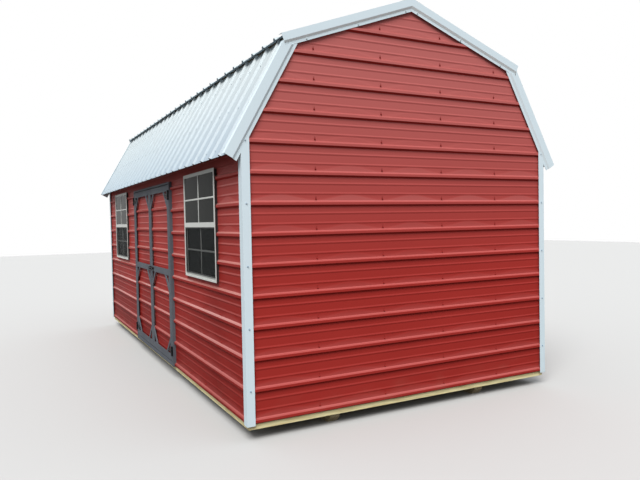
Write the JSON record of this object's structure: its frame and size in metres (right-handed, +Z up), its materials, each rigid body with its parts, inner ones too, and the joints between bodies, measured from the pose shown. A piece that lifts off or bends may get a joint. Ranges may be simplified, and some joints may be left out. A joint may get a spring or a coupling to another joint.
{
  "type": "storage barn",
  "caption": "Gambrel-roofed timber storage barn on skids, clad in ribbed red steel with white trim, with hinged double doors and windows on one long side.",
  "frame": {"origin": "on the ground, below the middle of the building", "axes": "+X along the length, +Z up; the doors and windows face -Y"},
  "size_m": [6.123, 3.3092, 3.4415],
  "materials": {
    "treated_timber": "rough sawn",
    "framing_timber": "planed",
    "board": "sanded",
    "red_steel": "satin",
    "white_steel": "satin",
    "window_white": "satin",
    "window_glass": "clear",
    "grey_boards": "painted",
    "black_iron": "painted"
  },
  "bodies": {
    "building": {"skids": "treated_timber", "side_rims": "treated_timber", "end_rims": "treated_timber", "floor_joists": "framing_timber", "floor_deck": "board", "bottom_plates": "framing_timber", "top_plates": "framing_timber", "front_studs": "framing_timber", "back_studs": "framing_timber", "end_studs": "framing_timber", "headers_and_sills": "framing_timber", "lower_rafters": "framing_timber", "upper_rafters": "framing_timber", "ridge_board": "framing_timber", "lower_roof_boards": "board", "upper_roof_boards": "board", "front_siding_lower": "red_steel", "front_siding_piers": "red_steel", "front_siding_upper": "red_steel", "back_siding": "red_steel", "right_gable_siding": "red_steel", "left_gable_siding": "red_steel", "corner_trims": "white_steel", "lower_rake_trims": "white_steel", "front_upper_rake_trims": "white_steel", "back_upper_rake_trims": "white_steel", "lower_roof_sheets": "white_steel", "upper_roof_sheets": "white_steel", "ridge_cap": "white_steel", "window_frames": "window_white", "window_sashes": "window_white", "window_glass": "window_glass", "door_trim": "grey_boards", "door_sill": "grey_boards", "hinge_plates": "black_iron"},
    "left_door": {"left_door_boards": "grey_boards", "left_door_panel": "red_steel", "left_door_back_frame": "framing_timber", "left_door_straps": "black_iron", "latch_keeper": "black_iron"},
    "right_door": {"right_door_boards": "grey_boards", "right_door_panel": "red_steel", "right_door_back_frame": "framing_timber", "right_door_straps": "black_iron", "latch_bolt": "black_iron"}
  },
  "joints": [
    {"name": "left_door_swing", "type": "hinge", "parent": "building", "child": "left_door", "pos_m": [-0.9185, -1.5453, 0.3], "axis": [0, 0, -1], "range_deg": [0, 170]},
    {"name": "right_door_swing", "type": "hinge", "parent": "building", "child": "right_door", "pos_m": [0.9185, -1.5453, 0.3], "axis": [0, 0, 1], "range_deg": [0, 170]}
  ]
}
